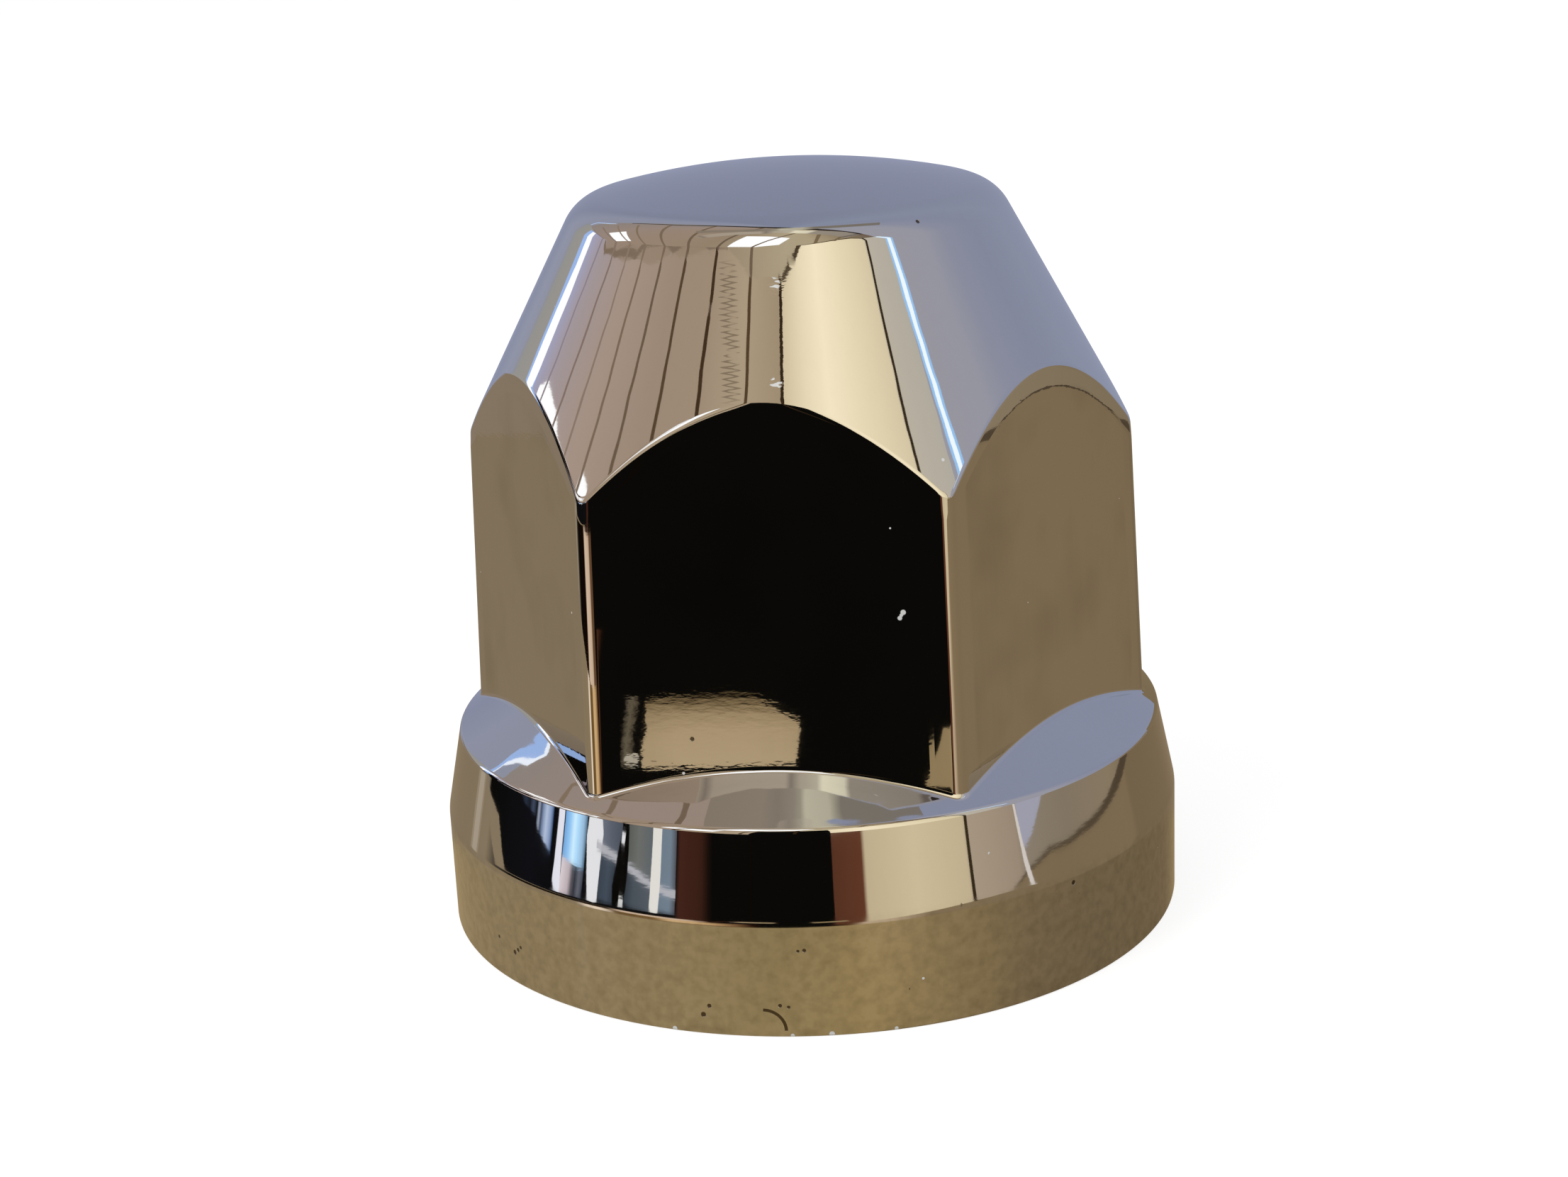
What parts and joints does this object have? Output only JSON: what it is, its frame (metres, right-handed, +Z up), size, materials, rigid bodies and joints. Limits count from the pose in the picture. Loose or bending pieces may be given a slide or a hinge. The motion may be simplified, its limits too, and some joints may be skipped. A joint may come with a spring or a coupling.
{
  "type": "wheel nut cover cap",
  "caption": "Hollow push-on cover cap for a wheel nut: a hexagon rises from a round sloped flange to a conical nose with a domed end, with gripping ribs inside.",
  "frame": {"origin": "centre of the open mouth, on the plane that the cap stands on", "axes": "+Z up along the cap's axis to the domed end, one flat of the hexagon faces -Y, corners on the X axis"},
  "size_m": [0.05, 0.05, 0.05],
  "materials": {
    "chrome_plate": "bright chrome plating over moulded plastic, mirror smooth with faint waviness, dust and fine marks"
  },
  "bodies": {
    "root": {"cap": "chrome_plate"}
  },
  "joints": []
}
